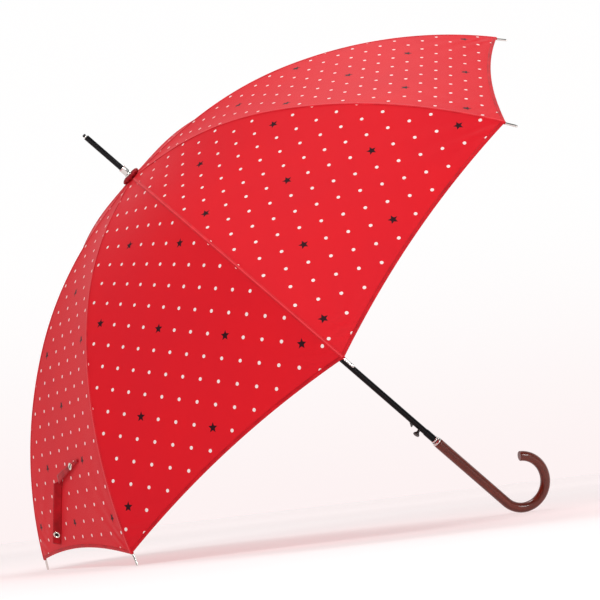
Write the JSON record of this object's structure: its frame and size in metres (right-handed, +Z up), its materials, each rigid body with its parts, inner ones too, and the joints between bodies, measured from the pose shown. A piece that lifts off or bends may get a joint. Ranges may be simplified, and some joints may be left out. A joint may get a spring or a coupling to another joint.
{
  "type": "children's umbrella",
  "caption": "Open stick umbrella for a child, with a domed dotted canopy, a press-button opening shaft and a wooden crook handle.",
  "frame": {"origin": "on the floor, under the middle of the box of the open umbrella as it lies on two rib tips and its crook", "axes": "+Z up from the floor, +X from the crown towards the handle along the floor, +Y to the side; the shaft runs down towards +X in the XZ plane"},
  "size_m": [0.7275, 0.8948, 0.663],
  "materials": {
    "canopy_fabric": "plain woven polyester, printed with small dots",
    "rosette_fabric": "gathered dark red cloth",
    "strap_fabric": "folded and stitched canopy cloth",
    "black_steel": "satin black paint",
    "rib_steel": "dark coated steel channel",
    "spring_steel": "bright wire",
    "nickel": "polished nickel plate",
    "snap_metal": "polished nickel plate",
    "black_plastic": "moulded",
    "button_plastic": "moulded, very dark brown",
    "wood": "dark red-brown stain under clear lacquer"
  },
  "bodies": {
    "root": {"shaft_tube": "black_steel", "handle_crook": "wood", "handle_ferrule": "nickel", "lower_sleeve": "black_steel", "crown_notch": "black_plastic", "crown_wire": "spring_steel", "crown_pin": "spring_steel", "crown_cap": "black_plastic", "crown_rosette": "rosette_fabric", "ferrule_collar": "nickel", "top_spike": "black_steel", "spike_tip": "nickel", "opening_spring": "spring_steel", "release_leaf_spring": "spring_steel"},
    "rib_1": {"rib_inner_1": "rib_steel", "canopy_panel_8": "canopy_fabric"},
    "rib_outer_1": {"rib_outer_1": "rib_steel", "rib_tip_1": "nickel"},
    "stretcher_1": {"stretcher_1": "rib_steel"},
    "rib_2": {"rib_inner_2": "rib_steel", "canopy_panel_1": "canopy_fabric"},
    "rib_outer_2": {"rib_outer_2": "rib_steel", "rib_tip_2": "nickel"},
    "stretcher_2": {"stretcher_2": "rib_steel"},
    "rib_3": {"rib_inner_3": "rib_steel", "canopy_panel_2": "canopy_fabric"},
    "rib_outer_3": {"rib_outer_3": "rib_steel", "rib_tip_3": "nickel"},
    "stretcher_3": {"stretcher_3": "rib_steel"},
    "rib_4": {"rib_inner_4": "rib_steel", "canopy_panel_3": "canopy_fabric"},
    "rib_outer_4": {"rib_outer_4": "rib_steel", "rib_tip_4": "nickel"},
    "stretcher_4": {"stretcher_4": "rib_steel"},
    "rib_5": {"rib_inner_5": "rib_steel", "canopy_panel_4": "canopy_fabric"},
    "rib_outer_5": {"rib_outer_5": "rib_steel", "rib_tip_5": "nickel"},
    "stretcher_5": {"stretcher_5": "rib_steel"},
    "rib_6": {"rib_inner_6": "rib_steel", "canopy_panel_5": "canopy_fabric"},
    "rib_outer_6": {"rib_outer_6": "rib_steel", "rib_tip_6": "nickel"},
    "stretcher_6": {"stretcher_6": "rib_steel"},
    "rib_7": {"rib_inner_7": "rib_steel", "canopy_panel_6": "canopy_fabric"},
    "rib_outer_7": {"rib_outer_7": "rib_steel", "rib_tip_7": "nickel"},
    "stretcher_7": {"stretcher_7": "rib_steel"},
    "rib_8": {"rib_inner_8": "rib_steel", "canopy_panel_7": "canopy_fabric"},
    "rib_outer_8": {"rib_outer_8": "rib_steel", "rib_tip_8": "nickel"},
    "stretcher_8": {"stretcher_8": "rib_steel"},
    "runner": {"runner": "black_plastic", "runner_wire": "spring_steel"},
    "strap": {"strap": "strap_fabric", "strap_snaps": "snap_metal"},
    "release_button": {"release_button": "button_plastic"},
    "lower_hook": {"lower_hook": "button_plastic"}
  },
  "joints": [
    {"name": "canopy_fold", "type": "hinge", "parent": "root", "child": "rib_1", "pos_m": [-0.21545, -0.00306, 0.50748], "axis": [0.2629, 0.9239, 0.2781], "range_deg": [0, 75.5], "stiffness_Nm_per_rad": 1, "springref_deg": -85.94, "deforming": ["canopy_panel_8", "opening_spring", "strap"]},
    {"name": "rib_2_fold", "type": "hinge", "parent": "root", "child": "rib_2", "pos_m": [-0.21843, -0.00739, 0.50433], "axis": [0.6347, 0.3827, 0.6713], "range_deg": [0, 75.5], "deforming": ["canopy_panel_1"]},
    {"name": "rib_3_fold", "type": "hinge", "parent": "root", "child": "rib_3", "pos_m": [-0.22263, -0.00739, 0.49988], "axis": [0.6347, -0.3827, 0.6713], "range_deg": [0, 75.5], "deforming": ["canopy_panel_2"]},
    {"name": "rib_4_fold", "type": "hinge", "parent": "root", "child": "rib_4", "pos_m": [-0.22561, -0.00306, 0.49673], "axis": [0.2629, -0.9239, 0.2781], "range_deg": [0, 75.5], "deforming": ["canopy_panel_3"]},
    {"name": "rib_5_fold", "type": "hinge", "parent": "root", "child": "rib_5", "pos_m": [-0.22561, 0.00306, 0.49673], "axis": [-0.2629, -0.9239, -0.2781], "range_deg": [0, 75.5], "deforming": ["canopy_panel_4"]},
    {"name": "rib_6_fold", "type": "hinge", "parent": "root", "child": "rib_6", "pos_m": [-0.22263, 0.00739, 0.49988], "axis": [-0.6347, -0.3827, -0.6713], "range_deg": [0, 75.5], "deforming": ["canopy_panel_5"]},
    {"name": "rib_7_fold", "type": "hinge", "parent": "root", "child": "rib_7", "pos_m": [-0.21843, 0.00739, 0.50433], "axis": [-0.6347, 0.3827, -0.6713], "range_deg": [0, 75.5], "deforming": ["canopy_panel_6"]},
    {"name": "rib_8_fold", "type": "hinge", "parent": "root", "child": "rib_8", "pos_m": [-0.21545, 0.00306, 0.50748], "axis": [-0.2629, 0.9239, -0.2781], "range_deg": [0, 75.5], "deforming": ["canopy_panel_7"]},
    {"name": "rib_1_flex", "type": "hinge", "parent": "rib_1", "child": "rib_outer_1", "pos_m": [-0.02187, -0.09627, 0.63414], "axis": [0.2629, 0.9239, 0.2781], "range_deg": [-26.26, 0]},
    {"name": "rib_2_flex", "type": "hinge", "parent": "rib_2", "child": "rib_outer_2", "pos_m": [-0.11541, -0.23242, 0.53521], "axis": [0.6347, 0.3827, 0.6713], "range_deg": [-26.26, 0]},
    {"name": "rib_3_flex", "type": "hinge", "parent": "rib_3", "child": "rib_outer_3", "pos_m": [-0.2477, -0.23242, 0.3953], "axis": [0.6347, -0.3827, 0.6713], "range_deg": [-26.26, 0]},
    {"name": "rib_4_flex", "type": "hinge", "parent": "rib_4", "child": "rib_outer_4", "pos_m": [-0.34124, -0.09627, 0.29637], "axis": [0.2629, -0.9239, 0.2781], "range_deg": [-26.26, 0]},
    {"name": "rib_5_flex", "type": "hinge", "parent": "rib_5", "child": "rib_outer_5", "pos_m": [-0.34124, 0.09627, 0.29637], "axis": [-0.2629, -0.9239, -0.2781], "range_deg": [-26.26, 0]},
    {"name": "rib_6_flex", "type": "hinge", "parent": "rib_6", "child": "rib_outer_6", "pos_m": [-0.2477, 0.23242, 0.3953], "axis": [-0.6347, -0.3827, -0.6713], "range_deg": [-26.26, 0]},
    {"name": "rib_7_flex", "type": "hinge", "parent": "rib_7", "child": "rib_outer_7", "pos_m": [-0.11541, 0.23242, 0.53521], "axis": [-0.6347, 0.3827, -0.6713], "range_deg": [-26.26, 0]},
    {"name": "rib_8_flex", "type": "hinge", "parent": "rib_8", "child": "rib_outer_8", "pos_m": [-0.02187, 0.09627, 0.63414], "axis": [-0.2629, 0.9239, -0.2781], "range_deg": [-26.26, 0]},
    {"name": "stretcher_1_swing", "type": "hinge", "parent": "rib_1", "child": "stretcher_1", "pos_m": [-0.02012, -0.09539, 0.62954], "axis": [0.2629, 0.9239, 0.2781], "range_deg": [-151, 0]},
    {"name": "stretcher_2_swing", "type": "hinge", "parent": "rib_2", "child": "stretcher_2", "pos_m": [-0.1128, -0.23029, 0.53152], "axis": [0.6347, 0.3827, 0.6713], "range_deg": [-151, 0]},
    {"name": "stretcher_3_swing", "type": "hinge", "parent": "rib_3", "child": "stretcher_3", "pos_m": [-0.24387, -0.23029, 0.39289], "axis": [0.6347, -0.3827, 0.6713], "range_deg": [-151, 0]},
    {"name": "stretcher_4_swing", "type": "hinge", "parent": "rib_4", "child": "stretcher_4", "pos_m": [-0.33655, -0.09539, 0.29487], "axis": [0.2629, -0.9239, 0.2781], "range_deg": [-151, 0]},
    {"name": "stretcher_5_swing", "type": "hinge", "parent": "rib_5", "child": "stretcher_5", "pos_m": [-0.33655, 0.09539, 0.29487], "axis": [-0.2629, -0.9239, -0.2781], "range_deg": [-151, 0]},
    {"name": "stretcher_6_swing", "type": "hinge", "parent": "rib_6", "child": "stretcher_6", "pos_m": [-0.24387, 0.23029, 0.39289], "axis": [-0.6347, -0.3827, -0.6713], "range_deg": [-151, 0]},
    {"name": "stretcher_7_swing", "type": "hinge", "parent": "rib_7", "child": "stretcher_7", "pos_m": [-0.1128, 0.23029, 0.53152], "axis": [-0.6347, 0.3827, -0.6713], "range_deg": [-151, 0]},
    {"name": "stretcher_8_swing", "type": "hinge", "parent": "rib_8", "child": "stretcher_8", "pos_m": [-0.02012, 0.09539, 0.62954], "axis": [-0.2629, 0.9239, -0.2781], "range_deg": [-151, 0]},
    {"name": "runner_guide", "type": "hinge", "parent": "stretcher_1", "child": "runner", "pos_m": [-0.13106, -0.00306, 0.42768], "axis": [0.2629, 0.9239, 0.2781], "range_deg": [0, 75.5]},
    {"name": "strap_gather", "type": "slide", "parent": "rib_outer_5", "child": "strap", "axis": [0.002, 0.9571, 0.2899], "range_m": [0, 0.09]},
    {"name": "release_press", "type": "slide", "parent": "root", "child": "release_button", "axis": [0.687, 0, 0.7266], "range_m": [0, 0.003], "stiffness_N_per_m": 1500, "springref_m": -0.001},
    {"name": "hook_release", "type": "slide", "parent": "root", "child": "lower_hook", "axis": [0.687, 0, 0.7266], "range_m": [0, 0.003]}
  ],
  "couplings": [
    {"joint": "rib_2_fold", "follows": "canopy_fold", "ratio": 1},
    {"joint": "rib_3_fold", "follows": "canopy_fold", "ratio": 1},
    {"joint": "rib_4_fold", "follows": "canopy_fold", "ratio": 1},
    {"joint": "rib_5_fold", "follows": "canopy_fold", "ratio": 1},
    {"joint": "rib_6_fold", "follows": "canopy_fold", "ratio": 1},
    {"joint": "rib_7_fold", "follows": "canopy_fold", "ratio": 1},
    {"joint": "rib_8_fold", "follows": "canopy_fold", "ratio": 1},
    {"joint": "rib_1_flex", "follows": "canopy_fold", "ratio": -0.34768},
    {"joint": "rib_2_flex", "follows": "canopy_fold", "ratio": -0.34768},
    {"joint": "rib_3_flex", "follows": "canopy_fold", "ratio": -0.34768},
    {"joint": "rib_4_flex", "follows": "canopy_fold", "ratio": -0.34768},
    {"joint": "rib_5_flex", "follows": "canopy_fold", "ratio": -0.34768},
    {"joint": "rib_6_flex", "follows": "canopy_fold", "ratio": -0.34768},
    {"joint": "rib_7_flex", "follows": "canopy_fold", "ratio": -0.34768},
    {"joint": "rib_8_flex", "follows": "canopy_fold", "ratio": -0.34768},
    {"joint": "stretcher_1_swing", "follows": "canopy_fold", "ratio": -2},
    {"joint": "stretcher_2_swing", "follows": "canopy_fold", "ratio": -2},
    {"joint": "stretcher_3_swing", "follows": "canopy_fold", "ratio": -2},
    {"joint": "stretcher_4_swing", "follows": "canopy_fold", "ratio": -2},
    {"joint": "stretcher_5_swing", "follows": "canopy_fold", "ratio": -2},
    {"joint": "stretcher_6_swing", "follows": "canopy_fold", "ratio": -2},
    {"joint": "stretcher_7_swing", "follows": "canopy_fold", "ratio": -2},
    {"joint": "stretcher_8_swing", "follows": "canopy_fold", "ratio": -2},
    {"joint": "runner_guide", "follows": "canopy_fold", "ratio": 1},
    {"joint": "strap_gather", "follows": "canopy_fold", "m_per_rad": 0.0683},
    {"joint": "hook_release", "follows": "release_press", "ratio": 1}
  ]
}
